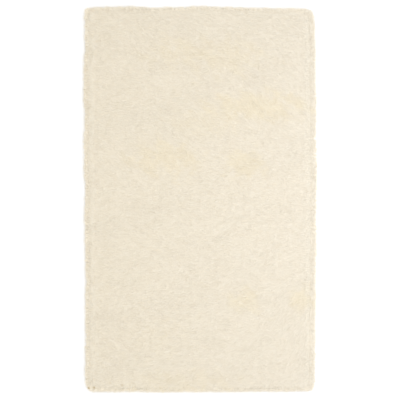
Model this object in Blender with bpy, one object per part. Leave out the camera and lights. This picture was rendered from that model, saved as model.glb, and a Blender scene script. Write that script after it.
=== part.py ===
"""Shag rug lying flat: the backing cloth and its long pile, as one solid.

Metres, +Z up. The origin is the middle of the underside, the rug's length runs along Y and its
width along X. The solid reaches to the tips of the pile, all round and on top. It has no single
strands: it is the soft body that they make together.
"""

import bmesh
import bpy
from mathutils import Vector, noise

RUG_NAME = "shag_rug"

# Driving sizes, tip to tip of the pile.
RUG_WIDTH = 0.914
RUG_LENGTH = 1.524
RUG_HEIGHT = 0.036

# The crown is the broad top. It is laid as a grid, whose border the rim then hangs from.
CROWN_INSET = 0.024
CROWN_HEIGHT = 0.034
CELLS_ACROSS = 24
CELLS_ALONG = 40
CORNER_STEPS = 4

# The rim, from the crown's border down to the floor: how far each line of it lies inside the
# outline, and its height. The pile bulges out past the backing and droops towards the floor.
#       line        inset   height
RIM = (
    ("shoulder", 0.0110, 0.0310),
    ("brow", 0.0035, 0.0250),
    ("bulge", 0.0000, 0.0170),
    ("droop", 0.0018, 0.0080),
    ("foot", 0.0090, 0.0000),
)

# Each corner, by the side of X and of Y that it is on, and how far back its rounding starts.
#       corner        x   y   radius
CORNERS = (
    ("far left", -1, 1, 0.010),
    ("far right", 1, 1, 0.026),
    ("near left", -1, -1, 0.034),
    ("near right", 1, -1, 0.020),
)

# No side is straight. Each table goes along one side, from the near end or from the left end:
# the place as a share of the side's length, and how far the outline stands out there.
#       place   out
LEFT_SIDE = (
    (0.00, -0.0020),
    (0.12, -0.0020),
    (0.24, -0.0045),
    (0.36, -0.0015),
    (0.50, -0.0005),
    (0.60, 0.0035),
    (0.70, 0.0025),
    (0.79, 0.0045),
    (0.90, 0.0010),
    (1.00, 0.0000),
)
RIGHT_SIDE = (
    (0.00, -0.0050),
    (0.08, -0.0025),
    (0.25, 0.0000),
    (0.42, 0.0025),
    (0.55, 0.0035),
    (0.70, 0.0020),
    (0.86, -0.0005),
    (0.94, -0.0030),
    (1.00, -0.0070),
)
FAR_SIDE = (
    (0.00, 0.0000),
    (0.08, 0.0015),
    (0.18, 0.0040),
    (0.33, -0.0010),
    (0.42, 0.0015),
    (0.50, 0.0045),
    (0.60, 0.0020),
    (0.75, -0.0015),
    (0.88, -0.0050),
    (1.00, -0.0080),
)
NEAR_SIDE = (
    (0.00, 0.0000),
    (0.50, 0.0005),
    (1.00, -0.0010),
)

# The tufts along a side stand out by turns, most of all on the left.
#       side   axis  sign  table       tuft height
SIDES = (
    ("left", 0, -1, LEFT_SIDE, 0.0045),
    ("right", 0, 1, RIGHT_SIDE, 0.0015),
    ("near", 1, -1, NEAR_SIDE, 0.0015),
    ("far", 1, 1, FAR_SIDE, 0.0020),
)
SIDE_FADE = 0.120
TUFT_FADE = 0.045
TUFT_PITCH = 0.044
TUFT_SEED = 11.5

# Slow swells of the crown, where the pile leans this way and that.
SWELL_HEIGHT = 0.0035
SWELL_SIZE = 0.150
SWELL_SEED = 4.2

CREAM = (0.86, 0.78, 0.64, 1.0)
PILE_ROUGHNESS = 0.95
SMOOTH_ANGLE = 1.0


def smooth(share):
    """A share from 0 to 1, eased at both ends."""
    share = min(max(share, 0.0), 1.0)
    return share * share * (3.0 - 2.0 * share)


def read_table(table, place):
    """The value of a (place, value) table at a place, eased from row to row."""
    for (before, low), (after, high) in zip(table, table[1:]):
        if place <= after:
            return low + (high - low) * smooth((place - before) / (after - before))
    return table[-1][1]


def clear_scene():
    for obj in list(bpy.data.objects):
        bpy.data.objects.remove(obj, do_unlink=True)


def border_edges(bm):
    return [edge for edge in bm.edges if edge.is_boundary]


def lay_crown(bm):
    """The top of the pile as a level grid, its corners rounded and its border twice as fine."""
    bmesh.ops.create_grid(bm, x_segments=CELLS_ACROSS, y_segments=CELLS_ALONG, size=0.5)
    size = Vector((RUG_WIDTH - 2 * CROWN_INSET, RUG_LENGTH - 2 * CROWN_INSET, 1.0))
    bmesh.ops.scale(bm, vec=size, verts=bm.verts)
    bmesh.ops.translate(bm, vec=(0.0, 0.0, CROWN_HEIGHT), verts=bm.verts)
    bmesh.ops.subdivide_edges(bm, edges=border_edges(bm), cuts=1)
    for _, side_x, side_y, radius in CORNERS:
        corner = max(bm.verts, key=lambda vert: vert.co.x * side_x + vert.co.y * side_y)
        round_corner(bm, corner, radius)


def round_corner(bm, corner, radius):
    """Rounds one corner of the crown. The points that the rounding would pass are merged first."""
    near = [
        vert
        for vert in bm.verts
        if vert.is_boundary and 0.0 < (vert.co - corner.co).length <= radius
    ]
    bmesh.ops.dissolve_verts(bm, verts=near)
    bmesh.ops.bevel(
        bm,
        geom=[corner],
        offset=radius,
        offset_type="OFFSET",
        segments=CORNER_STEPS,
        profile=0.5,
        affect="VERTICES",
        material=-1,
    )


def hang_rim(bm):
    """Draws the border out and down, one line of the rim after another."""
    inset, height = CROWN_INSET, CROWN_HEIGHT
    for _, next_inset, next_height in RIM:
        drawn = bmesh.ops.extrude_edge_only(bm, edges=border_edges(bm))
        verts = [item for item in drawn["geom"] if isinstance(item, bmesh.types.BMVert)]
        wider = (RUG_WIDTH - 2 * next_inset) / (RUG_WIDTH - 2 * inset)
        longer = (RUG_LENGTH - 2 * next_inset) / (RUG_LENGTH - 2 * inset)
        bmesh.ops.scale(bm, vec=(wider, longer, 1.0), verts=verts)
        bmesh.ops.translate(bm, vec=(0.0, 0.0, next_height - height), verts=verts)
        inset, height = next_inset, next_height


def close_underside(bm):
    """The underside is flat on the floor, from foot to foot."""
    filled = bmesh.ops.contextual_create(bm, geom=border_edges(bm))
    bmesh.ops.triangulate(bm, faces=filled["faces"], ngon_method="BEAUTY")


def uneven_outline(bm):
    """Moves each side in and out by its table and its tufts, fading towards the middle."""
    half = (RUG_WIDTH / 2, RUG_LENGTH / 2)
    for vert in bm.verts:
        place = vert.co.copy()
        for index, (_, axis, sign, table, tuft_height) in enumerate(SIDES):
            along = place[1 - axis]
            inside = half[axis] - sign * place[axis]
            out = read_table(table, along / (2 * half[1 - axis]) + 0.5)
            tuft = noise.noise(Vector((along / TUFT_PITCH, index * TUFT_SEED, 0.5)))
            out *= smooth(1.0 - inside / SIDE_FADE)
            out += tuft_height * tuft * smooth(1.0 - inside / TUFT_FADE)
            vert.co[axis] += sign * out


def swell_crown(bm):
    """Raises and lowers the top of the pile in slow swells. The underside stays level."""
    for vert in bm.verts:
        spot = Vector((vert.co.x / SWELL_SIZE, vert.co.y / SWELL_SIZE, SWELL_SEED))
        vert.co.z += SWELL_HEIGHT * noise.noise(spot) * smooth(vert.co.z / CROWN_HEIGHT)


def fit_to_size(bm):
    """Centres the rug and takes it to its driving sizes, which the tufts change by a little."""
    sizes = (RUG_WIDTH, RUG_LENGTH, RUG_HEIGHT)
    low = Vector([min(vert.co[axis] for vert in bm.verts) for axis in range(3)])
    high = Vector([max(vert.co[axis] for vert in bm.verts) for axis in range(3)])
    middle = Vector(((low.x + high.x) / 2, (low.y + high.y) / 2, low.z))
    bmesh.ops.translate(bm, vec=-middle, verts=bm.verts)
    fit = [size / (high[axis] - low[axis]) for axis, size in enumerate(sizes)]
    bmesh.ops.scale(bm, vec=fit, verts=bm.verts)


def pile_material():
    material = bpy.data.materials.new("cream pile")
    material.use_nodes = True
    shader = material.node_tree.nodes["Principled BSDF"]
    shader.inputs["Base Color"].default_value = CREAM
    shader.inputs["Roughness"].default_value = PILE_ROUGHNESS
    shader.inputs["Metallic"].default_value = 0.0
    return material


def make_rug():
    bm = bmesh.new()
    lay_crown(bm)
    hang_rim(bm)
    close_underside(bm)
    uneven_outline(bm)
    swell_crown(bm)
    fit_to_size(bm)
    bmesh.ops.recalc_face_normals(bm, faces=bm.faces)
    mesh = bpy.data.meshes.new(RUG_NAME)
    bm.to_mesh(mesh)
    bm.free()
    mesh.shade_smooth()
    mesh.set_sharp_from_angle(angle=SMOOTH_ANGLE)
    mesh.materials.append(pile_material())
    return bpy.data.objects.new(RUG_NAME, mesh)


def main():
    clear_scene()
    rug_parts = bpy.data.collections.new("Shag rug")
    bpy.context.scene.collection.children.link(rug_parts)
    rug_parts.objects.link(make_rug())


main()
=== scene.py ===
# %% [markdown]
# # A cream shag rug
#
# A shag rug is a cloth backing with long yarn pushed through it. Each yarn opens into a lock of
# soft fibres, and the locks are too long to stand, so they lean over and lie on one another like
# roof tiles. What the eye reads as "shag" is the light on thousands of leaning locks and the small
# shadows between them. This lesson builds the rug from the inside out: the woven backing, the
# dense lower pile, and then the long locks, strand by strand.

# %% Load the frame that everything is built round
import math

import bmesh
import bpy
import numpy as np
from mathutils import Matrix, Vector
from mathutils.bvhtree import BVHTree
from mathutils.kdtree import KDTree


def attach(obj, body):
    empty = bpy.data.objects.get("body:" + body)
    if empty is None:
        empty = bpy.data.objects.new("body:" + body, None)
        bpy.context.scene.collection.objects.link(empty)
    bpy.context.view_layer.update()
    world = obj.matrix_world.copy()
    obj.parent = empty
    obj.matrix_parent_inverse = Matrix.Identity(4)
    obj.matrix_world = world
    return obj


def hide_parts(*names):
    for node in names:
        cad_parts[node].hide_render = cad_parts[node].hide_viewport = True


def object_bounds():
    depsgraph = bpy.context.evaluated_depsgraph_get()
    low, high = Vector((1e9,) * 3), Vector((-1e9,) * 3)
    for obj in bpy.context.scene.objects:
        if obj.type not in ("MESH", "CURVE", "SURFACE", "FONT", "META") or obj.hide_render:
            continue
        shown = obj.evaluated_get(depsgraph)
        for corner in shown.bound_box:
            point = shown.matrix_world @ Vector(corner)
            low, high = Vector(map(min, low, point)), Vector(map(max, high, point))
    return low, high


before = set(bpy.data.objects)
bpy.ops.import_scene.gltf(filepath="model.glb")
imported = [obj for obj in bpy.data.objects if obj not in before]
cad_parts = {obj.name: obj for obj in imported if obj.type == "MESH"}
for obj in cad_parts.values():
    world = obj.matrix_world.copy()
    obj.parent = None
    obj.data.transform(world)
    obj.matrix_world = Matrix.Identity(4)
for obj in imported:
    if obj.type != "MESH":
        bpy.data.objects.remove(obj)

MM = 0.001
RUG = "shag_rug"
rug_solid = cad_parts[RUG]
cad_low, cad_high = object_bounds()
rug_width, rug_length, rug_height = cad_high - cad_low
print(f"rug {rug_width:.3f} x {rug_length:.3f} m, {rug_height / MM:.0f} mm high")

# %% [markdown]
# ## The outline of the pile
#
# The solid says how far the pile reaches, all round and on top. Its sides bulge, so its outline is
# the ring where a level plane cuts it at the bulge. `bisect_plane` cuts a copy of the solid and
# hands back the new edges, and walking along those edges gives points all round the rug.

# %% Outline
BULGE_SHARE = 0.47       # how high the widest part of the side is, as a share of the rug's height
OUTLINE_STEP = 1.5 * MM
WELD = 0.01 * MM


def outline_of(solid, height):
    """Points, a step apart, along the ring where the solid meets a level plane."""
    bm = bmesh.new()
    bm.from_mesh(solid.data)
    bmesh.ops.remove_doubles(bm, verts=bm.verts, dist=WELD)
    everything = bm.verts[:] + bm.edges[:] + bm.faces[:]
    cut = bmesh.ops.bisect_plane(bm, geom=everything, plane_co=(0, 0, height), plane_no=(0, 0, 1))
    points = []
    for item in cut["geom_cut"]:
        if isinstance(item, bmesh.types.BMEdge):
            start, end = (vert.co for vert in item.verts)
            count = max(1, int(item.calc_length() / OUTLINE_STEP))
            points += [start.lerp(end, step / count) for step in range(count)]
    bm.free()
    return np.array(points)


outline = outline_of(rug_solid, BULGE_SHARE * rug_height)
print(f"outline of {len(outline)} points")

# %% [markdown]
# ## Two maps of the form
#
# Strands are placed by the ten thousand, so asking the mesh about each one would be slow. Instead
# the form is read once into two maps on a level grid. One holds the height of the top, found by
# rays cast straight down on the solid. The other holds how deep inside the outline each spot is,
# and its slope therefore points straight in from the nearest edge.

# %% Height map and depth map
MAP_CELL = 4 * MM
MAP_MARGIN = 40 * MM

map_x = np.arange(cad_low.x - MAP_MARGIN, cad_high.x + MAP_MARGIN, MAP_CELL)
map_y = np.arange(cad_low.y - MAP_MARGIN, cad_high.y + MAP_MARGIN, MAP_CELL)
outline_tree = KDTree(len(outline))
for index, point in enumerate(outline):
    outline_tree.insert(point, index)
outline_tree.balance()
solid_tree = BVHTree.FromObject(rug_solid, bpy.context.evaluated_depsgraph_get())

top_map = np.zeros((len(map_y), len(map_x)))
depth_map = np.zeros_like(top_map)
for row, y in enumerate(map_y):
    for column, x in enumerate(map_x):
        hit = solid_tree.ray_cast(Vector((x, y, 1)), Vector((0, 0, -1)))[0]
        away = outline_tree.find((x, y, BULGE_SHARE * rug_height))[2]
        top_map[row, column] = hit.z if hit else BULGE_SHARE * rug_height
        depth_map[row, column] = away if hit else -away
slope_y, slope_x = np.gradient(depth_map, MAP_CELL)
print(f"maps of {top_map.size} cells, deepest spot {depth_map.max():.3f} m inside the outline")


# %% Reading a map
def read_map(grid, x, y):
    """The map's value at each point, blended from the four cells around it."""
    across = np.clip((x - map_x[0]) / MAP_CELL, 0, len(map_x) - 1.001)
    along = np.clip((y - map_y[0]) / MAP_CELL, 0, len(map_y) - 1.001)
    i, j = across.astype(int), along.astype(int)
    u, v = across - i, along - j
    near = grid[j, i] * (1 - u) + grid[j, i + 1] * u
    far = grid[j + 1, i] * (1 - u) + grid[j + 1, i + 1] * u
    return near * (1 - v) + far * v


def way_out(x, y):
    """The heading from each point straight out over the nearest edge."""
    return np.arctan2(-read_map(slope_y, x, y), -read_map(slope_x, x, y))


def ease(share):
    """A share from 0 to 1, eased at both ends."""
    share = np.clip(share, 0, 1)
    return share * share * (3 - 2 * share)


def drift(x, y, size, seed, waves=8):
    """A smooth wander, mostly between -1 and 1, with swells of about this size."""
    dice = np.random.default_rng(seed)
    turns = dice.uniform(0, 2 * math.pi, waves)
    rates = dice.uniform(0.6, 1.5, waves) * 2 * math.pi / size
    starts = dice.uniform(0, 2 * math.pi, waves)
    total = np.zeros_like(x)
    for turn, rate, start in zip(turns, rates, starts):
        total += np.sin(rate * (x * math.cos(turn) + y * math.sin(turn)) + start)
    return total / math.sqrt(waves)


# %% [markdown]
# ## Which way the pile lies
#
# Long pile never lies evenly. Rolling, brushing and feet leave it leaning mostly one way, with
# slow turns and a few swirls. Here it leans to the left. Towards the far end it turns one way and
# towards the near end the other, and a short table holds the swirls. At an edge with nothing to
# hold it up, pile falls over the side, so some of the edge's locks are turned outwards.

# %% The lie of the pile
LIE = math.pi                      # towards -X
LIE_TURN = math.radians(15)        # between the middle and either end
WANDER_TURN = math.radians(11)
WANDER_SIZE = 0.26
WANDER_SEED = 5

#    name            x      y     width  turn in degrees
SWIRLS = (
    ("far right", 0.26, 0.38, 0.17, -30),
    ("far middle", -0.05, 0.22, 0.14, -22),
    ("near right", 0.36, -0.50, 0.20, 36),
    ("middle right", 0.12, -0.10, 0.12, 26),
)


def lie_of_pile(x, y):
    """The heading that the pile leans towards, in radians from +X."""
    heading = LIE - LIE_TURN * y / (rug_length / 2)
    heading = heading + WANDER_TURN * drift(x, y, WANDER_SIZE, WANDER_SEED)
    for _, swirl_x, swirl_y, width, turn in SWIRLS:
        away = np.hypot(x - swirl_x, y - swirl_y) / (width / 2)
        heading = heading + math.radians(turn) * np.exp(-away * away / 2)
    return heading


def leans_in(x, y):
    """How far the lie of the pile points away from the nearest edge, from 0 to 1."""
    return np.clip(-np.cos(lie_of_pile(x, y) - way_out(x, y)), 0, 1)


middle_lie = math.degrees(float(lie_of_pile(0.0, 0.0)))
print(f"at the middle the pile leans {middle_lie:.0f} degrees from +X")

# %% [markdown]
# ## Warm patches
#
# Natural cream wool and cotton are never one colour. Where the yarn is older or was less bleached
# it is a little warmer, like thin honey. The patches are soft ovals from a table, with ragged
# edges, and their strength is stored on every piece as an attribute that its material reads.

# %% Honey patches
#    x      y     half width  half length  strength
HONEY = (
    (-0.06, 0.58, 0.17, 0.06, 0.7),
    (0.10, 0.56, 0.16, 0.08, 0.6),
    (0.22, 0.36, 0.20, 0.06, 1.0),
    (0.02, 0.30, 0.16, 0.07, 0.5),
    (-0.13, 0.16, 0.15, 0.07, 1.0),
    (0.18, 0.14, 0.08, 0.06, 0.9),
    (0.19, -0.40, 0.06, 0.05, 0.8),
    (0.41, -0.39, 0.04, 0.05, 0.9),
    (-0.22, -0.55, 0.20, 0.12, 0.4),
    (-0.10, -0.72, 0.25, 0.05, 0.6),
    (-0.36, 0.20, 0.06, 0.50, 0.3),
)
HONEY_REACH = 1.35       # how far past its oval a patch fades out
HONEY_LEFT = 0.4         # the whole left side is a little warmer than the right
#    amount  size     seed
RAGGED = (
    (0.30, 70 * MM, 31),
    (0.20, 30 * MM, 32),
)


def honey_at(x, y):
    """How warm the pile is at each point, from 0 to 1."""
    ragged = np.zeros_like(x)
    for amount, size, seed in RAGGED:
        ragged = ragged + amount * drift(x, y, size, seed)
    warmth = HONEY_LEFT * (0.5 - x / rug_width)
    for centre_x, centre_y, half_width, half_length, strength in HONEY:
        away = np.hypot((x - centre_x) / half_width, (y - centre_y) / half_length) + ragged
        warmth = np.maximum(warmth, strength * ease(HONEY_REACH - away))
    return warmth


# %% [markdown]
# ## A pad that fits the outline
#
# The backing and the lower pile are both level pads with the rug's outline, drawn in by different
# amounts. A grid from `create_grid` is a unit square, so each of its rows is stretched to run from
# the left edge to the right edge at its own place, which keeps the faces square and even. Then the
# border is extruded down and the underside is filled in with one face.

# %% Making a pad
EDGE_SAMPLES = 900


def row_ends(y, inset):
    """Where a row across the rug starts and ends, drawn in by an inset."""
    x = np.linspace(cad_low.x, cad_high.x, EDGE_SAMPLES)
    depth = read_map(depth_map, x, np.full_like(x, y))
    inside = x[depth >= min(inset, depth.max())]
    return inside[0], inside[-1]


def pad(name, inset, cell, top_of, bottom):
    """A closed pad with the rug's outline, drawn in by an inset, whose top is at top_of(x, y)."""
    bm = bmesh.new()
    cells_across, cells_along = int(rug_width / cell), int(rug_length / cell)
    bmesh.ops.create_grid(bm, x_segments=cells_across, y_segments=cells_along, size=0.5)
    ends = {}
    for vert in bm.verts:
        y = vert.co.y * (rug_length - 2 * inset)
        key = round(y / WELD)
        if key not in ends:
            ends[key] = row_ends(y, inset)
        left, right = ends[key]
        vert.co.x = left + (right - left) * (vert.co.x + 0.5)
        vert.co.y = y
    x, y, _ = np.array([vert.co for vert in bm.verts]).T
    for vert, height in zip(bm.verts, top_of(x, y)):
        vert.co.z = height
    border = [edge for edge in bm.edges if edge.is_boundary]
    drawn = bmesh.ops.extrude_edge_only(bm, edges=border)
    for item in drawn["geom"]:
        if isinstance(item, bmesh.types.BMVert):
            item.co.z = bottom
    bmesh.ops.contextual_create(bm, geom=[edge for edge in bm.edges if edge.is_boundary])
    bmesh.ops.recalc_face_normals(bm, faces=bm.faces)
    mesh = bpy.data.meshes.new(name)
    bm.to_mesh(mesh)
    bm.free()
    piece = bpy.data.objects.new(name, mesh)
    bpy.context.scene.collection.objects.link(piece)
    mesh.calc_loop_triangles()
    print(f"{name}: {len(mesh.loop_triangles)} triangles")
    return piece


# %% [markdown]
# ## The backing
#
# The yarn is held by a strong plain weave of cotton. It is the one sheet of cloth in the rug. It
# stops well short of the pile's outline, because the pile stands out past it all round, and it is
# thin, so a coarse grid is enough.

# %% Backing cloth
BACKING_INSET = 9 * MM
BACKING_CELL = 24 * MM
BACKING_THICKNESS = 2.4 * MM


def backing_top(x, y):
    return np.full_like(x, BACKING_THICKNESS)


backing = pad("backing", BACKING_INSET, BACKING_CELL, backing_top, bottom=0.0)

# %% [markdown]
# ## The lower pile
#
# Under the long locks the yarns stand so close together that the eye can't part them. That mass is
# one soft pad: it is lumpy, and its shoulders fall away towards the edges, so that the rug isn't a
# slab under its locks. Every lock grows from its top.

# %% Lower pile
BED_SHARE = 0.76         # its height in the middle, as a share of the whole pile's
BED_EDGE_SHARE = 0.60
SHOULDER = 26 * MM       # how far in from the outline the shoulders reach
BED_INSET = 6 * MM
BED_CELL = 9 * MM
BED_BOTTOM = 2.0 * MM    # inside the backing, so that no gap shows
#    height    size    seed
BED_LUMPS = (
    (0.4 * MM, 30 * MM, 61),
    (0.4 * MM, 14 * MM, 62),
)


def bed_top(x, y):
    """The height of the top of the lower pile."""
    share = ease((read_map(depth_map, x, y) - BACKING_INSET) / SHOULDER)
    height = (BED_EDGE_SHARE + (BED_SHARE - BED_EDGE_SHARE) * share) * read_map(top_map, x, y)
    for lump, size, seed in BED_LUMPS:
        height = height + lump * drift(x, y, size, seed)
    return height


bed = pad("lower_pile", BED_INSET, BED_CELL, bed_top, BED_BOTTOM)
bed.data.shade_smooth()

# %% [markdown]
# ## Combing the lower pile
#
# Its fibres have to run the way the pile lies, so the pad gets a combed UV map. From each corner
# of each face a walk follows the lie of the pile to the middle line of the rug. Where the walk
# ends tells which fibre the corner is on, and its own X tells how far along the fibre it is.

# %% Combed UV map
COMB_STEPS = 60


def comb(x, y):
    """How far along its fibre each point is, and which fibre it is on."""
    walk_x, walk_y = x.copy(), y.copy()
    step = -x / COMB_STEPS
    for _ in range(COMB_STEPS):
        walk_y += step * np.tan(lie_of_pile(walk_x, walk_y))
        walk_x += step
    return np.stack([x, walk_y], axis=-1)


def comb_map(piece):
    """Adds the combed UV map, the warmth of the pile, and where few locks will cover the pad, which
    gets painted shade.
    """
    mesh = piece.data
    places = np.empty(len(mesh.vertices) * 3)
    mesh.vertices.foreach_get("co", places)
    x, y, _ = places.reshape(-1, 3).T
    corners = np.empty(len(mesh.loops), dtype=np.int32)
    mesh.loops.foreach_get("vertex_index", corners)
    mesh.uv_layers.new(name="combed").data.foreach_set("uv", comb(x, y)[corners].ravel())
    mesh.attributes.new("honey", "FLOAT", "POINT").data.foreach_set("value", honey_at(x, y))
    # where few locks cover the pad, painted shade will darken it
    thin = leans_in(x, y) * (1 - ease((read_map(depth_map, x, y) - SHOULDER) / SHOULDER))
    mesh.attributes.new("thin", "FLOAT", "POINT").data.foreach_set("value", thin)


comb_map(bed)
print(f"combed {len(bed.data.vertices)} points of the lower pile")

# %% [markdown]
# ## One strand
#
# A strand is a slim cone with three sides. A cone is the right start, because real locks come to a
# point where their fibres end at different lengths. The hairs of the undercoat are so short that
# they can stay straight. A strand of the long locks is cut across in the middle, so that it can
# bend. Each kind is made once, and its points, faces and UVs are the pattern for thousands.

# %% Strand patterns
STRAND_SIDES = 3
LOCK_CUTS = (0.5,)


def around_of(face, vert):
    """How far round the cone a face's corner is, from 0 to 1, on the face's side of the seam."""
    middle, spot = face.calc_center_median().to_2d(), vert.co.to_2d()
    turn = math.atan2(middle.y, middle.x)
    if middle.length > WELD and spot.length > WELD:
        turn -= middle.angle_signed(spot)
    return min(max(turn / (2 * math.pi) + 0.5, 0.0), 1.0)


def strand_pattern(cuts):
    """A closed cone of unit length and radius, cut across at each share of its length."""
    bm = bmesh.new()
    bmesh.ops.create_cone(
        bm, cap_ends=True, segments=STRAND_SIDES, radius1=1.0, radius2=0.0, depth=1.0
    )
    bmesh.ops.translate(bm, vec=(0, 0, 0.5), verts=bm.verts)
    bmesh.ops.remove_doubles(bm, verts=bm.verts, dist=WELD)
    for share in cuts:
        everything = bm.verts[:] + bm.edges[:] + bm.faces[:]
        bmesh.ops.bisect_plane(bm, geom=everything, plane_co=(0, 0, share), plane_no=(0, 0, 1))
    bmesh.ops.recalc_face_normals(bm, faces=bm.faces)
    bm.verts.index_update()
    x, y, z = np.array([vert.co for vert in bm.verts]).T
    corners = [(face, vert) for face in bm.faces for vert in face.verts]
    pattern = {
        "along": z,
        "turn": np.arctan2(y, x),
        "faces": [[vert.index for vert in face.verts] for face in bm.faces],
        "uvs": np.array([(around_of(face, vert), vert.co.z) for face, vert in corners]),
        "triangles": sum(len(face.verts) - 2 for face in bm.faces),
    }
    bm.free()
    return pattern


HAIR = strand_pattern(())
LOCK_STRAND = strand_pattern(LOCK_CUTS)
print(f"triangles: {HAIR['triangles']} in a hair, {LOCK_STRAND['triangles']} in a strand of a lock")

# %% [markdown]
# ## Bending strands
#
# The strands are kept as arrays, one value for each strand, so that numpy can bend all of them at
# once. A strand leaves its root at one angle of rise and ends at another, and meanwhile it curls to
# one side and waves. Each short step of its line is found from those angles, and the steps are
# added up.

# %% Bending
LINE_STEPS = 12


def bend(strands):
    """The line of each strand, from its root to its tip."""
    share = (np.arange(LINE_STEPS) + 0.5) / LINE_STEPS
    rise = strands["rise"][:, None] + (strands["fall"] - strands["rise"])[:, None] * share
    swing = 2 * math.pi * (strands["waves"][:, None] * share + strands["phase"][:, None])
    heading = strands["heading"][:, None] + strands["curl"][:, None] * share
    heading = heading + strands["wave"][:, None] * np.sin(swing)
    forward = np.cos(rise)
    steps = np.stack([forward * np.cos(heading), forward * np.sin(heading), np.sin(rise)], axis=-1)
    steps *= (strands["length"] / LINE_STEPS)[:, None, None]
    line = np.concatenate([np.zeros_like(steps[:, :1]), np.cumsum(steps, axis=1)], axis=1)
    return line + strands["root"][:, None, :]


# %% [markdown]
# ## Keeping strands inside the rug
#
# A lock lies on the pile below it, so its line is laid over the lower pile: its own angles only say
# how far it lifts off. A strand that would cross the outline is shortened sideways and given a
# droop, which is what pile does at the edge of a rug. How near the outline it may come changes
# slowly from place to place, so the edge comes out in small tufts. Where the pile leans away from
# an edge few strands reach it, so there they may go further. A strand that would climb over the
# crown is pressed down.

# %% Laying strands on the lower pile
ROOT_SUNK = 1.0 * MM


def lay_on_bed(line):
    """Lifts lines that start at height 0 onto the lower pile, whose rise and fall they follow."""
    line[:, :, 2] += bed_top(line[:, :, 0], line[:, :, 1]) - ROOT_SUNK
    return line


# %% Holding strands in
TUFT_SIZE = 30 * MM
TUFT_SEED = 71
TUFT_MARGIN = (-4.9 * MM, 2.2 * MM)     # the usual gap to the outline, and how much it changes
LOOSE_MARGIN = 9 * MM    # how much further out tufts stand where the pile leans away from the edge
MARGIN_SPREAD = 1.2 * MM
SHORTEST = 0.12
DROOP = 0.75
LOWEST = 1.2 * MM


def hold_in(line, strands, dice):
    """Keeps each strand under the crown and inside the outline."""
    share = np.linspace(0, 1, LINE_STEPS + 1)
    root = line[:, :1].copy()
    tip_x, tip_y = line[:, -1, 0], line[:, -1, 1]
    tip_depth = read_map(depth_map, tip_x, tip_y)
    root_depth = read_map(depth_map, line[:, 0, 0], line[:, 0, 1])
    margin = TUFT_MARGIN[0] + TUFT_MARGIN[1] * drift(tip_x, tip_y, TUFT_SIZE, TUFT_SEED)
    margin = margin + dice.normal(0, MARGIN_SPREAD, len(line))
    margin = margin - LOOSE_MARGIN * leans_in(tip_x, tip_y)
    reach = (root_depth - margin) / np.maximum(root_depth - tip_depth, WELD)
    room = np.clip(np.where(tip_depth < margin, reach, 1.0), SHORTEST, 1.0)
    line[:, :, :2] = root[:, :, :2] + (line[:, :, :2] - root[:, :, :2]) * room[:, None, None]
    line[:, :, 2] -= (DROOP * (1 - room) * strands["length"])[:, None] * share**2
    crown = read_map(top_map, line[:, :, 0], line[:, :, 1]) - strands["sink"][:, None]
    climb = line[:, :, 2] - root[:, :, 2]
    headroom = np.maximum(crown - root[:, :, 2], MM)
    press = np.where(climb > headroom, headroom / np.maximum(climb, WELD), 1.0).min(axis=1)
    line[:, :, 2] = root[:, :, 2] + climb * np.where(climb > 0, press[:, None], 1.0)
    line[:, :, 2] = np.maximum(line[:, :, 2], LOWEST)
    return line


# %% [markdown]
# ## From lines to one mesh
#
# Each strand's pattern is swept along its line: every ring of the cone is moved to its place,
# turned to face along the line, and made a little wider than high, because soft locks lie flat.
# Thousands of strands then become one mesh, which is far lighter for Blender than thousands of
# objects. The faces stay flat shaded: three sides are too few for smooth shading to look round.

# %% Sweeping a pattern along lines
STRAND_WIDE, STRAND_HIGH = 1.3, 0.65
FLOOR_GAP = 0.4 * MM
#    how far along, share of the full width
STRAND_TAPER = ((0.0, 0.8), (0.4, 1.0), (0.7, 0.75), (1.0, 0.0))


def sweep(pattern, strands, line):
    """The points of every strand's cone, bent along its line."""
    place = pattern["along"] * LINE_STEPS
    before = np.minimum(place.astype(int), LINE_STEPS - 1)
    part = (place - before)[None, :, None]
    centre = line[:, before] * (1 - part) + line[:, before + 1] * part
    gathered = strands["offset"] * strands["gather"][:, None]
    centre[:, :, :2] -= gathered[:, None] * pattern["along"][None, :, None]
    run = line[:, before + 1] - line[:, np.maximum(before - 1, 0)]
    run /= np.maximum(np.linalg.norm(run, axis=-1, keepdims=True), WELD)
    side = np.stack([-run[..., 1], run[..., 0], np.zeros_like(run[..., 0])], axis=-1)
    side /= np.maximum(np.linalg.norm(side, axis=-1, keepdims=True), WELD)
    over = np.cross(run, side)
    radius = strands["radius"][:, None] * np.interp(pattern["along"], *zip(*STRAND_TAPER))
    turn = pattern["turn"] + strands["twist"][:, None]
    points = centre + side * (STRAND_WIDE * radius * np.cos(turn))[..., None]
    points = points + over * (STRAND_HIGH * radius * np.sin(turn))[..., None]
    points[..., 2] = np.maximum(points[..., 2], FLOOR_GAP)
    return points


# %% A strip of the UV map for every strand
STRIP_SHAPE = 3.4        # strips are this many times as long as they are wide
STRIP_FILL = 0.76


def strips(pattern, count):
    """UVs that give each strand a strip of its own."""
    columns = math.ceil(math.sqrt(count * STRIP_SHAPE))
    rows = math.ceil(count / columns)
    cell = np.stack([np.arange(count) % columns, np.arange(count) // columns], axis=-1)
    inner = (1 - STRIP_FILL) / 2 + STRIP_FILL * pattern["uvs"]
    return (cell[:, None, :] + inner[None, :, :]) / np.array([columns, rows])


# %% Building the mesh
made_triangles = {}


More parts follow.
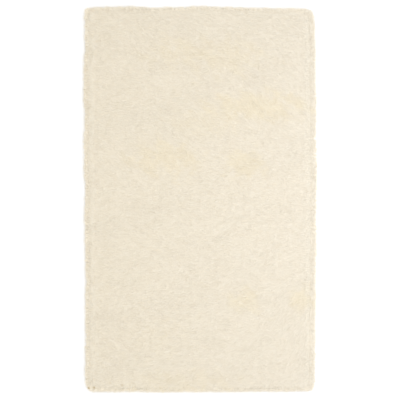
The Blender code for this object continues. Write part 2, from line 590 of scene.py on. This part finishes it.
def strand_mesh(name, pattern, strands, line):
    """One mesh of closed, tapered strands, with the attributes that the material reads."""
    count, per_strand = len(line), len(pattern["along"])
    sizes = np.array([len(face) for face in pattern["faces"]])
    corners = np.concatenate(pattern["faces"])
    mesh = bpy.data.meshes.new(name)
    mesh.vertices.add(count * per_strand)
    points = sweep(pattern, strands, line)
    mesh.vertices.foreach_set("co", points.astype(np.float32).ravel())
    mesh.loops.add(count * len(corners))
    shifts = np.arange(count)[:, None] * per_strand
    mesh.loops.foreach_set("vertex_index", (corners + shifts).astype(np.int32).ravel())
    starts = np.concatenate([[0], np.cumsum(np.tile(sizes, count))[:-1]])
    mesh.polygons.add(len(starts))
    mesh.polygons.foreach_set("loop_start", starts.astype(np.int32))
    mesh.update(calc_edges=True)
    mesh.shade_flat()
    uvs = strips(pattern, count).astype(np.float32)
    mesh.uv_layers.new(name="OFBake").data.foreach_set("uv", uvs.ravel())
    for attribute, domain, values in (
        ("along", "POINT", np.tile(pattern["along"], count)),
        ("around", "CORNER", np.tile(pattern["uvs"][:, 0], count)),
        ("tone_and_rim_light", "POINT", np.repeat(strands["tone_and_rim_light"], per_strand)),
        ("honey", "POINT", np.repeat(strands["honey"], per_strand)),
    ):
        layer = mesh.attributes.new(attribute, "FLOAT", domain)
        layer.data.foreach_set("value", values.astype(np.float32))
    mesh.validate()
    piece = bpy.data.objects.new(name, mesh)
    bpy.context.scene.collection.objects.link(piece)
    made_triangles[name] = count * pattern["triangles"]
    print(f"{name}: {count} strands, {made_triangles[name]} triangles")
    return piece


# %% [markdown]
# ## Spreading strands over the rug
#
# Tufting machines set yarn in rows, but long pile hides the rows at once. A grid with every second
# row shifted, then shaken, gives places that are evenly spread and never in line. They are closer
# together across the lie than along it, because each lock covers the roots of the next.

# %% Shaken grid
SHAKE = 0.36


def shaken_grid(dice, along, across, inset):
    """Places all over the rug, at least an inset inside its outline."""
    columns = np.arange(cad_low.x, cad_high.x, along)
    rows = np.arange(cad_low.y, cad_high.y, across)
    x, y = np.meshgrid(columns, rows)
    x[1::2] += along / 2
    x = (x + dice.uniform(-SHAKE, SHAKE, x.shape) * along).ravel()
    y = (y + dice.uniform(-SHAKE, SHAKE, y.shape) * across).ravel()
    inside = read_map(depth_map, x, y) > inset
    return x[inside], y[inside]


# %% [markdown]
# ## Drawing a table of dice
#
# Every kind of strand has a table of its measures, such as its length and how it rises, with how
# much each one varies. One helper draws a whole table, in the table's order, so that the same seed
# always gives the same rug.

# %% Drawing from a table
DEGREE = math.radians(1)
WARMTH_SPREAD = (0.4, 1.5)     # some strands take up less of the warm tint than others, some more


def draw(dice, table, count):
    """A value of each measure for every strand: even between two numbers, bell-shaped, or fixed."""
    drawn = {}
    for measure, (kind, first, second) in table.items():
        if kind == "fixed":
            drawn[measure] = np.full(count, float(first))
        elif kind == "even":
            drawn[measure] = dice.uniform(first, second, count)
        else:
            drawn[measure] = dice.normal(first, second, count)
    return drawn


def some_of(strands, pick):
    return {key: values[pick] for key, values in strands.items()}


def roots_of(x, y, z):
    return np.stack([x, y, np.broadcast_to(z, x.shape)], axis=-1)


print(f"a draw of two: {draw(np.random.default_rng(1), {'length': ('even', 1, 2)}, 2)['length']}")

# %% [markdown]
# ## Heading of the pile near an edge
#
# In the middle every lock follows the lie of the pile. Close to an edge more and more of them are
# turned part of the way, or all of the way, out over that edge.

# %% Headings
SPILL_FROM = 18 * MM
SPILL_FULL = 7 * MM
LEAST_SPILL = 0.5        # a strand that spills turns at least this share of the way


def headings(x, y, scatter, dice):
    """Each strand's heading: with the lie of the pile, or over the edge where that is close."""
    lie = lie_of_pile(x, y) + dice.normal(0, scatter, len(x))
    share = ease((SPILL_FROM - read_map(depth_map, x, y)) / (SPILL_FROM - SPILL_FULL))
    to_edge = (way_out(x, y) - lie + math.pi) % (2 * math.pi) - math.pi
    spills = dice.uniform(0, 1, len(x)) < share
    return lie + np.where(spills, to_edge * dice.uniform(LEAST_SPILL, 1.0, len(x)), 0)


# %% [markdown]
# ## The undercoat
#
# Between the long locks stand far more short hairs, and they give the rug its fine grain. More
# and thinner hairs make a softer surface, because each small patch of it is the mean of many. That
# is where the triangles go: a straight hair needs only four.

# %% Undercoat hairs
HAIR_ALONG = 4.4 * MM
HAIR_ACROSS = 2.7 * MM
HAIR_INSET = 6 * MM
HAIR_SCATTER = 14 * DEGREE
#    measure   kind    from or mean  to or spread
UNDERCOAT_HAIR = {
    "length": ("even", 13 * MM, 23 * MM),
    "rise": ("even", 10 * DEGREE, 26 * DEGREE),
    "fall": ("even", 0, 12 * DEGREE),
    "curl": ("fixed", 0, 0),
    "wave": ("fixed", 0, 0),
    "waves": ("fixed", 1, 0),
    "phase": ("fixed", 0, 0),
    "sink": ("even", 0, 2 * MM),
    "tone_and_rim_light": ("bell", 0, 0.6),
    "gather": ("fixed", 0, 0),
    "radius": ("even", 0.5 * MM, 0.8 * MM),
    "twist": ("bell", math.pi, 0.3),
}


def grow_undercoat(dice):
    """Every hair of the undercoat, as arrays."""
    x, y = shaken_grid(dice, HAIR_ALONG, HAIR_ACROSS, HAIR_INSET)
    heading = headings(x, y, HAIR_SCATTER, dice)
    strands = draw(dice, UNDERCOAT_HAIR, len(x))
    strands["heading"] = heading
    strands["offset"] = np.zeros((len(x), 2))
    strands["root"] = roots_of(x, y, 0.0)
    strands["honey"] = honey_at(x, y) * dice.uniform(*WARMTH_SPREAD, len(x))
    return strands


# %% Undercoat pieces
UNDERCOATS = 3


def families(name, pattern, strands, count, dice):
    """Shares strands out between pieces, each with strands from all over the rug."""
    turn_of = dice.permutation(len(strands["honey"]))
    pieces = []
    for family in range(count):
        few = some_of(strands, np.sort(turn_of[family::count]))
        line = hold_in(lay_on_bed(bend(few)), few, dice)
        pieces.append(strand_mesh(f"{name}_{family + 1}", pattern, few, line))
    return pieces


dice = np.random.default_rng(20)
undercoat = families("undercoat", HAIR, grow_undercoat(dice), UNDERCOATS, dice)

# %% [markdown]
# ## The locks
#
# A lock is a few strands that share a root, a lean and a curl, and that gather towards its tip. All
# of its numbers are drawn once for the lock, and each strand changes them a little, so neighbours
# run the same way, as they do in real pile. Two strands are enough here, because the undercoat
# fills in between the locks.

# %% Strands of the locks
LOCK_ALONG = 12.6 * MM
LOCK_ACROSS = 7.4 * MM
LOCK_INSET = 11 * MM
LOCK_SCATTER = 7 * DEGREE
STRANDS_IN_LOCK = 2
LOCK_SPREAD = (3.6 * MM, 2.4 * MM)      # how far a lock's strands stand from its middle, in X and Y
#    measure   kind    from or mean  to or spread
LOCK = {
    "length": ("even", 23 * MM, 37 * MM),
    "rise": ("bell", 17 * DEGREE, 4 * DEGREE),
    "fall": ("bell", -11 * DEGREE, 4 * DEGREE),
    "curl": ("bell", 0, 12 * DEGREE),
    "wave": ("even", 12 * DEGREE, 38 * DEGREE),
    "waves": ("even", 0.5, 1.1),
    "phase": ("even", 0, 1),
    "sink": ("even", 0, 1.2 * MM),
    "tone_and_rim_light": ("bell", 0, 0.35),
    "gather": ("even", 0.0, 0.3),
}
#    measure   kind    from or mean  to or spread, to add to the lock's own
STRAND_CHANGE = {
    "heading": ("bell", 0, 8 * DEGREE),
    "length": ("even", 0.85, 1.12),     # to multiply by
    "phase": ("bell", 0, 0.15),
    "rise": ("bell", 0, 5 * DEGREE),
    "sink": ("even", 0, 1.5 * MM),
    "tone_and_rim_light": ("bell", 0, 0.5),
}
LOCK_STRAND_SHAPE = {
    "radius": ("even", 0.6 * MM, 0.95 * MM),
    "twist": ("bell", math.pi, 0.25),
}


def grow_locks(dice):
    """Every strand of every lock, as arrays."""
    lock_x, lock_y = shaken_grid(dice, LOCK_ALONG, LOCK_ACROSS, LOCK_INSET)
    heading = headings(lock_x, lock_y, LOCK_SCATTER, dice)
    lock = draw(dice, LOCK, len(lock_x))
    lock["heading"] = heading
    owner = np.repeat(np.arange(len(lock_x)), STRANDS_IN_LOCK)
    strands = some_of(lock, owner)
    strands["offset"] = dice.normal(0, 1, (len(owner), 2)) * np.array(LOCK_SPREAD)
    x, y = lock_x[owner] + strands["offset"][:, 0], lock_y[owner] + strands["offset"][:, 1]
    strands["root"] = roots_of(x, y, 0.0)
    for measure, change in draw(dice, STRAND_CHANGE, len(owner)).items():
        own = strands[measure]
        strands[measure] = own * change if measure == "length" else own + change
    strands |= draw(dice, LOCK_STRAND_SHAPE, len(owner))
    strands["honey"] = honey_at(x, y) * dice.uniform(*WARMTH_SPREAD, len(owner))
    return strands


LOCK_PIECES = 2
locks = families("pile_locks", LOCK_STRAND, grow_locks(dice), LOCK_PIECES, dice)

# %% [markdown]
# ## The rim
#
# Seen from the side, a shag rug has no visible cloth: short strands spill from its edge down to the
# floor all round. They start inside the wall of the lower pile at every height, head outwards with
# a little of the pile's own lean, and fall steeply. Fine hairs between them close the gaps, as the
# undercoat does on top.

# %% Rim strands
BARE_SHARE = 1.6         # how many more strands stand where the pile leans away from the edge
WALL_DEPTH = 12 * MM     # strands nearer the outline than this grow from the wall, at any height
WALL_FOOT = 0.2          # how low on the wall the lowest of them start, as a share of its height
RIM_FAN = 0.42           # how far outwards rim strands turn from the lie of the pile, at least
RIM_SCATTER = 18 * DEGREE
# painted light: the rim strands' colour is made paler than the rest of the pile
RIM_PAINTED_LIGHT = 3.2           # with the same shade as the rest, the rim came out too dark
#    measure   kind    from or mean  to or spread
RIM_STRAND = {
    "length": ("even", 18 * MM, 32 * MM),
    "rise": ("even", 0, 34 * DEGREE),
    "fall": ("even", -60 * DEGREE, -15 * DEGREE),
    "curl": ("bell", 0, 30 * DEGREE),
    "wave": ("even", 4 * DEGREE, 20 * DEGREE),
    "waves": ("even", 0.6, 1.4),
    "phase": ("even", 0, 1),
    "sink": ("even", 0, 4 * MM),
    "tone_and_rim_light": ("bell", 0, 0.8),
    "gather": ("fixed", 0, 0),
    "radius": ("even", 0.75 * MM, 1.1 * MM),
    "twist": ("even", 0, 2 * math.pi),
}


def grow_rim(dice, table, count, start, band):
    """Short strands that spill over the edge of the backing, all round."""
    chance = 1 + BARE_SHARE * leans_in(outline[:, 0], outline[:, 1])
    x, y, _ = outline[dice.choice(len(outline), count, p=chance / chance.sum())].T
    out = way_out(x, y)
    deep = start + band * dice.uniform(0, 1, count)
    x, y = x - deep * np.cos(out), y - deep * np.sin(out)
    lie = lie_of_pile(x, y)
    to_edge = (way_out(x, y) - lie + math.pi) % (2 * math.pi) - math.pi
    wall = deep < WALL_DEPTH
    up = np.where(wall, dice.uniform(WALL_FOOT, 1.0, count), 1.0)
    turned = dice.uniform(RIM_FAN, 1.0, count) * to_edge + dice.normal(0, RIM_SCATTER, count)
    strands = draw(dice, table, count)
    # painted light: rim strands paler, in full on the wall and less where the pile leans in
    strands["tone_and_rim_light"] += RIM_PAINTED_LIGHT * np.where(wall, 1, 1 - leans_in(x, y))
    strands["heading"] = lie + turned
    strands["offset"] = np.zeros((count, 2))
    strands["root"] = roots_of(x, y, up * bed_top(x, y) - ROOT_SUNK)
    strands["honey"] = honey_at(x, y)
    return strands


def rim_piece(name, pattern, strands, dice):
    return strand_mesh(name, pattern, strands, hold_in(bend(strands), strands, dice))


rim_strands = grow_rim(dice, RIM_STRAND, count=8000, start=7 * MM, band=9 * MM)
rim = rim_piece("pile_rim", LOCK_STRAND, rim_strands, dice)

# %% Rim hairs
RIM_HAIR = RIM_STRAND | {
    "length": ("even", 10 * MM, 20 * MM),
    "radius": ("even", 0.5 * MM, 0.8 * MM),
}

rim_hairs = grow_rim(dice, RIM_HAIR, count=32000, start=4 * MM, band=23 * MM)
rim_undercoat = rim_piece("rim_undercoat", HAIR, rim_hairs, dice)
pile_pieces = undercoat + locks + [rim, rim_undercoat]
print(f"{sum(made_triangles.values())} triangles in all strands")


# %% [markdown]
# ## Fibre material
#
# The fibre is soft and matt, with a faint sheen where the light grazes it. Three attributes colour
# it. `along` makes the roots a little deeper than the tips, `honey` warms the patches, and
# `tone_and_rim_light` makes each strand its own shade and, on the rim, holds painted light that
# makes the strands paler. At a few partings, painted shadow darkens the strands. Fine streaks along
# each strand stand for its single fibres, both in its colour and as a bump.

# %% Node helpers
def new_material(name, roughness, specular):
    """A material with a matt shader, and its node tree."""
    material = bpy.data.materials.new(name)
    material.use_nodes = True
    shader = material.node_tree.nodes["Principled BSDF"]
    shader.inputs["Roughness"].default_value = roughness
    shader.inputs["Specular IOR Level"].default_value = specular
    return material, material.node_tree, shader


def attribute(tree, name):
    node = tree.nodes.new("ShaderNodeAttribute")
    node.attribute_name = name
    return node.outputs["Fac"]


def math_node(tree, operation, first, second):
    """A Math node. Its inputs are sockets or plain numbers."""
    node = tree.nodes.new("ShaderNodeMath")
    node.operation = operation
    for socket, value in zip(node.inputs, (first, second)):
        if isinstance(value, bpy.types.NodeSocket):
            tree.links.new(value, socket)
        else:
            socket.default_value = value
    return node.outputs["Value"]


def vector_of(tree, *parts):
    node = tree.nodes.new("ShaderNodeCombineXYZ")
    for socket, part in zip(node.inputs, parts):
        tree.links.new(part, socket)
    return node.outputs["Vector"]


def noise_of(tree, vector, scale, detail):
    node = tree.nodes.new("ShaderNodeTexNoise")
    node.inputs["Scale"].default_value = scale
    node.inputs["Detail"].default_value = detail
    tree.links.new(vector, node.inputs["Vector"])
    return node.outputs["Fac"]


def spread(tree, value, low, high, to_low, to_high):
    """A Map Range node that takes low..high to to_low..to_high."""
    node = tree.nodes.new("ShaderNodeMapRange")
    ends = {"From Min": low, "From Max": high, "To Min": to_low, "To Max": to_high}
    for name, number in ends.items():
        node.inputs[name].default_value = number
    tree.links.new(value, node.inputs["Value"])
    return node.outputs["Result"]


def ramp_of(tree, value, *stops):
    """A Color Ramp node with (position, colour) stops."""
    node = tree.nodes.new("ShaderNodeValToRGB")
    for element, (position, colour) in zip(node.color_ramp.elements, stops):
        element.position = position
        element.color = (*colour, 1)
    tree.links.new(value, node.inputs["Fac"])
    return node.outputs["Color"]


def tinted(tree, colour, factor, tint):
    """The colour, multiplied by a tint as far as the factor says."""
    node = tree.nodes.new("ShaderNodeMix")
    node.data_type = "RGBA"
    node.blend_type = "MULTIPLY"
    tree.links.new(factor, node.inputs["Factor"])
    tree.links.new(colour, node.inputs["A"])
    node.inputs["B"].default_value = (*tint, 1)
    return node.outputs["Result"]


def scaled(tree, colour, factor):
    node = tree.nodes.new("ShaderNodeVectorMath")
    node.operation = "SCALE"
    tree.links.new(colour, node.inputs[0])
    tree.links.new(factor, node.inputs["Scale"])
    return node.outputs["Vector"]


def bump(tree, shader, height, strength, distance):
    node = tree.nodes.new("ShaderNodeBump")
    node.inputs["Strength"].default_value = strength
    node.inputs["Distance"].default_value = distance
    tree.links.new(height, node.inputs["Height"])
    tree.links.new(node.outputs["Normal"], shader.inputs["Normal"])


# %% [markdown]
# ## Painted shadow at the partings
#
# Here and there, most of all near a corner, the locks part and the deeper foot of the yarn shows in
# shade as a small dark spot. The strands here don't part: a few spots are listed, and their shadow
# is painted on as a tint that depends on how far a point is from the spot, so the strands round it
# keep their places.

# %% Parting spots
# painted shadow: the tint of the shade in a parting
PARTING_SHADOW_TINT = (0.72, 0.62, 0.42)
#    x       y       half size  strength
PARTING_SHADOWS = (
    (-0.438, -0.748, 4.5 * MM, 1.0),
    (-0.417, -0.744, 4.5 * MM, 0.8),
    (-0.352, -0.724, 4 * MM, 0.35),
    (-0.306, -0.734, 4 * MM, 0.35),
)


def paint_parting_shadows(tree, colour):
    """The colour, with painted shadow where the locks part and the foot of the yarn lies in shade.
    """
    places = tree.nodes.new("ShaderNodeTexCoord").outputs["Object"]
    for x, y, size, strength in PARTING_SHADOWS:
        level = tree.nodes.new("ShaderNodeVectorMath")
        level.operation = "MULTIPLY"
        level.inputs[1].default_value = (1, 1, 0)
        tree.links.new(places, level.inputs[0])
        away = tree.nodes.new("ShaderNodeVectorMath")
        away.operation = "DISTANCE"
        away.inputs[1].default_value = (x, y, 0)
        tree.links.new(level.outputs["Vector"], away.inputs[0])
        inner, outer = 0.5 * size, 1.5 * size
        near = spread(tree, away.outputs["Value"], inner, outer, strength, 0.0)
        colour = tinted(tree, colour, near, PARTING_SHADOW_TINT)
    return colour


print(f"{len(PARTING_SHADOWS)} partings")

# %% Pile fibre
ROOT_CREAM = (0.803, 0.747, 0.641)
TIP_CREAM = (0.823, 0.772, 0.670)
HONEY_TINT = (1.0, 0.982, 0.915)
# the top of this range holds the rim's painted light, which makes its strands paler
TONES, TONE_SHADES = (-2.0, 5.0), (0.96, 1.086)
MOST_NOISE, STREAK_SHADES = (0.3, 0.7), (0.965, 1.02)     # most of a Noise node is in this range
FIBRES_AROUND = 9
FIBRE_WANDER = 1.5
NEW_STRAND = 17          # moves the streaks on, so that no two strands have the same


def pile_fibre():
    material, tree, shader = new_material("pile_fibre", roughness=0.85, specular=0.25)
    shader.inputs["Sheen Weight"].default_value = 0.15
    shader.inputs["Sheen Roughness"].default_value = 0.5
    along, tone_and_rim_light = attribute(tree, "along"), attribute(tree, "tone_and_rim_light")
    colour = ramp_of(tree, along, (0.0, ROOT_CREAM), (0.45, TIP_CREAM))
    colour = tinted(tree, colour, attribute(tree, "honey"), HONEY_TINT)
    streaks = noise_of(
        tree,
        vector_of(
            tree,
            math_node(tree, "MULTIPLY", attribute(tree, "around"), FIBRES_AROUND),
            math_node(tree, "MULTIPLY", along, FIBRE_WANDER),
            math_node(tree, "MULTIPLY", tone_and_rim_light, NEW_STRAND),
        ),
        scale=1.0,
        detail=2.0,
    )
    # each strand's own shade, and on the rim painted light
    shade = spread(tree, tone_and_rim_light, *TONES, *TONE_SHADES)
    shade = math_node(tree, "MULTIPLY", shade, spread(tree, streaks, *MOST_NOISE, *STREAK_SHADES))
    # painted shadow at the partings
    colour = paint_parting_shadows(tree, scaled(tree, colour, shade))
    tree.links.new(colour, shader.inputs["Base Color"])
    bump(tree, shader, streaks, strength=0.35, distance=0.25 * MM)
    return material


fibre = pile_fibre()
for piece in pile_pieces:
    piece.data.materials.append(fibre)
print(f"{fibre.name} has {len(fibre.node_tree.nodes)} nodes")

# %% [markdown]
# ## Lower pile material
#
# The lower pile shows only in the gaps, where it has to read as more of the same fibre. Its colours
# are deeper than the strands' cream: the foot of the yarn is a little deeper, and the rest is
# painted shade, for the shade among packed fibres that a smooth pad lacks. Its combed UV map is
# stretched hard along the lie, so plain noise turns into fine hairs that run the right way, in
# colour and in bump. Along the side that the pile leans away from, few strands cover the smooth pad
# and it came out too bright, so shade is painted on there as a deeper colour.

# %% Lower pile fibre
# partly painted shade: both are deeper than the strands' cream
BED_CREAM = (0.735, 0.681, 0.580)
BED_LIGHT = (0.785, 0.733, 0.634)
SPARSE_PAINTED_SHADE_TINT = (0.88, 0.875, 0.86)
COMBED_ALONG = 70        # hairs to the metre, along the lie and across it
COMBED_ACROSS = 900


def lower_pile_fibre():
    material, tree, shader = new_material("lower_pile_fibre", roughness=0.95, specular=0.2)
    combed = tree.nodes.new("ShaderNodeUVMap")
    combed.uv_map = "combed"
    stretch = tree.nodes.new("ShaderNodeMapping")
    stretch.inputs["Scale"].default_value = (COMBED_ALONG, COMBED_ACROSS, 1)
    tree.links.new(combed.outputs["UV"], stretch.inputs["Vector"])
    hairs = noise_of(tree, stretch.outputs["Vector"], scale=1.0, detail=3.0)
    colour = ramp_of(tree, hairs, (0.35, BED_CREAM), (0.65, BED_LIGHT))
    # painted shade where few strands cover the pad
    colour = tinted(tree, colour, attribute(tree, "thin"), SPARSE_PAINTED_SHADE_TINT)
    colour = tinted(tree, colour, attribute(tree, "honey"), HONEY_TINT)
    tree.links.new(colour, shader.inputs["Base Color"])
    bump(tree, shader, hairs, strength=0.8, distance=1.0 * MM)
    return material


bed_material = lower_pile_fibre()
bed.data.materials.append(bed_material)
print(f"{bed_material.name} has {len(bed_material.node_tree.nodes)} nodes")

# %% [markdown]
# ## Woven backing material
#
# The cloth is a plain weave: threads go over and under each other by turns, both ways. A checker
# says which thread is on top in each cell, and a wave across that thread gives it its round back,
# both as a bump and as painted shade in its colour, paler on the crown and darker where it dips.
# The threads vary in colour, as unbleached cotton does.

# %% Backing weave
THREAD = 2.6 * MM
# painted shade: a thread is the first colour where it dips and the second on its crown
COTTON_SHADED = (0.62, 0.55, 0.44)
COTTON_LIT = (0.74, 0.68, 0.57)
SLUB_SHADES = (0.88, 1.05)


def woven_cotton():
    material, tree, shader = new_material("woven_cotton", roughness=0.92, specular=0.2)
    places = tree.nodes.new("ShaderNodeTexCoord").outputs["Object"]
    split = tree.nodes.new("ShaderNodeSeparateXYZ")
    tree.links.new(places, split.inputs["Vector"])
    backs = []
    for axis in ("X", "Y"):
        turn = math_node(tree, "MULTIPLY", split.outputs[axis], math.pi / THREAD)
        wave = math_node(tree, "SINE", turn, 0.0)
        backs.append(math_node(tree, "ABSOLUTE", wave, 0.0))
    checker = tree.nodes.new("ShaderNodeTexChecker")
    checker.inputs["Scale"].default_value = 1 / THREAD
    flat = tree.nodes.new("ShaderNodeMapping")
    flat.inputs["Scale"].default_value = (1, 1, 0)
    flat.inputs["Location"].default_value = (0, 0, 0.5 * THREAD)
    tree.links.new(places, flat.inputs["Vector"])
    tree.links.new(flat.outputs["Vector"], checker.inputs["Vector"])
    over = tree.nodes.new("ShaderNodeMix")
    tree.links.new(checker.outputs["Fac"], over.inputs["Factor"])
    tree.links.new(backs[0], over.inputs["A"])
    tree.links.new(backs[1], over.inputs["B"])
    slubs = noise_of(tree, places, scale=160.0, detail=3.0)
    # painted shade across each thread's round back
    colour = ramp_of(tree, over.outputs["Result"], (0.05, COTTON_SHADED), (0.8, COTTON_LIT))
    colour = scaled(tree, colour, spread(tree, slubs, *MOST_NOISE, *SLUB_SHADES))
    tree.links.new(colour, shader.inputs["Base Color"])
    bump(tree, shader, over.outputs["Result"], strength=0.8, distance=0.5 * MM)
    return material


weave = woven_cotton()
backing.data.materials.append(weave)
print(f"{weave.name} has {len(weave.node_tree.nodes)} nodes")

# %% [markdown]
# ## Putting every piece on the rug's body
#
# Every piece rides on the rug's one body and stands for the plain solid, which is then hidden. The
# backing is the only sheet of cloth, and the pile stands on it.

for piece in pile_pieces + [bed, backing]:
    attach(piece, "root")
    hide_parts(RUG)

# %% [markdown]
# ## Floor and light
#
# The rug lies on a plain white floor under an even white sky, as on a light studio table. A sky
# alone would be flat, so one large soft light stands to the right, close enough that the right side
# of the rug is a little brighter than the left.

# %% Floor
FLOOR_HALF = 12
FLOOR_DROP = 0.3 * MM

bm = bmesh.new()
bmesh.ops.create_grid(bm, x_segments=1, y_segments=1, size=FLOOR_HALF)
bmesh.ops.translate(bm, vec=(0, 0, -FLOOR_DROP), verts=bm.verts)
floor_mesh = bpy.data.meshes.new("floor")
bm.to_mesh(floor_mesh)
bm.free()
floor = bpy.data.objects.new("floor", floor_mesh)
bpy.context.scene.collection.objects.link(floor)
white_paint, _, white_shader = new_material("white_paint", roughness=0.9, specular=0.0)
white_shader.inputs["Base Color"].default_value = (0.97, 0.97, 0.97, 1)
floor_mesh.materials.append(white_paint)

# %% Sky and softbox
SKY_STRENGTH = 1.12
SOFTBOX_PLACE = Vector((1.15, -0.05, 1.55))
SOFTBOX_SIZE = (1.1, 2.1)
SOFTBOX_POWER = 11

sky = bpy.data.worlds.new("studio_sky")
sky.use_nodes = True
sky.node_tree.nodes["Background"].inputs["Color"].default_value = (1, 1, 1, 1)
sky.node_tree.nodes["Background"].inputs["Strength"].default_value = SKY_STRENGTH
bpy.context.scene.world = sky

softbox_light = bpy.data.lights.new("softbox", "AREA")
softbox_light.shape = "RECTANGLE"
softbox_light.size, softbox_light.size_y = SOFTBOX_SIZE
softbox_light.energy = SOFTBOX_POWER
softbox = bpy.data.objects.new("softbox", softbox_light)
softbox.location = SOFTBOX_PLACE
softbox.rotation_euler = (-SOFTBOX_PLACE).to_track_quat("-Z", "Y").to_euler()
bpy.context.scene.collection.objects.link(softbox)

# %% [markdown]
# ## Camera
#
# The rug is seen from straight above. A long lens from far off keeps its sides parallel. Light
# bounces many times between pale fibres before it comes out again, so the bounces are raised.
# Without them the gaps between the strands would go grey.

# %% Camera and view
LENS, SENSOR = 100, 36
VIEW_WIDTH = 1.582       # how wide a strip of the world the picture takes in, at the pile's middle
VIEW_CENTRE = (0.0022, -0.0032)
PILE_MIDDLE = 0.017

camera_data = bpy.data.cameras.new("camera")
camera_data.lens, camera_data.sensor_width = LENS, SENSOR
camera = bpy.data.objects.new("camera", camera_data)
camera.location = (*VIEW_CENTRE, PILE_MIDDLE + VIEW_WIDTH * LENS / SENSOR)
bpy.context.scene.collection.objects.link(camera)
bpy.context.scene.camera = camera
bpy.context.scene.view_settings.view_transform = "Standard"
bpy.context.scene.cycles.max_bounces = 12
bpy.context.scene.cycles.diffuse_bounces = 10
print(f"camera {camera.location.z:.2f} m above the floor")
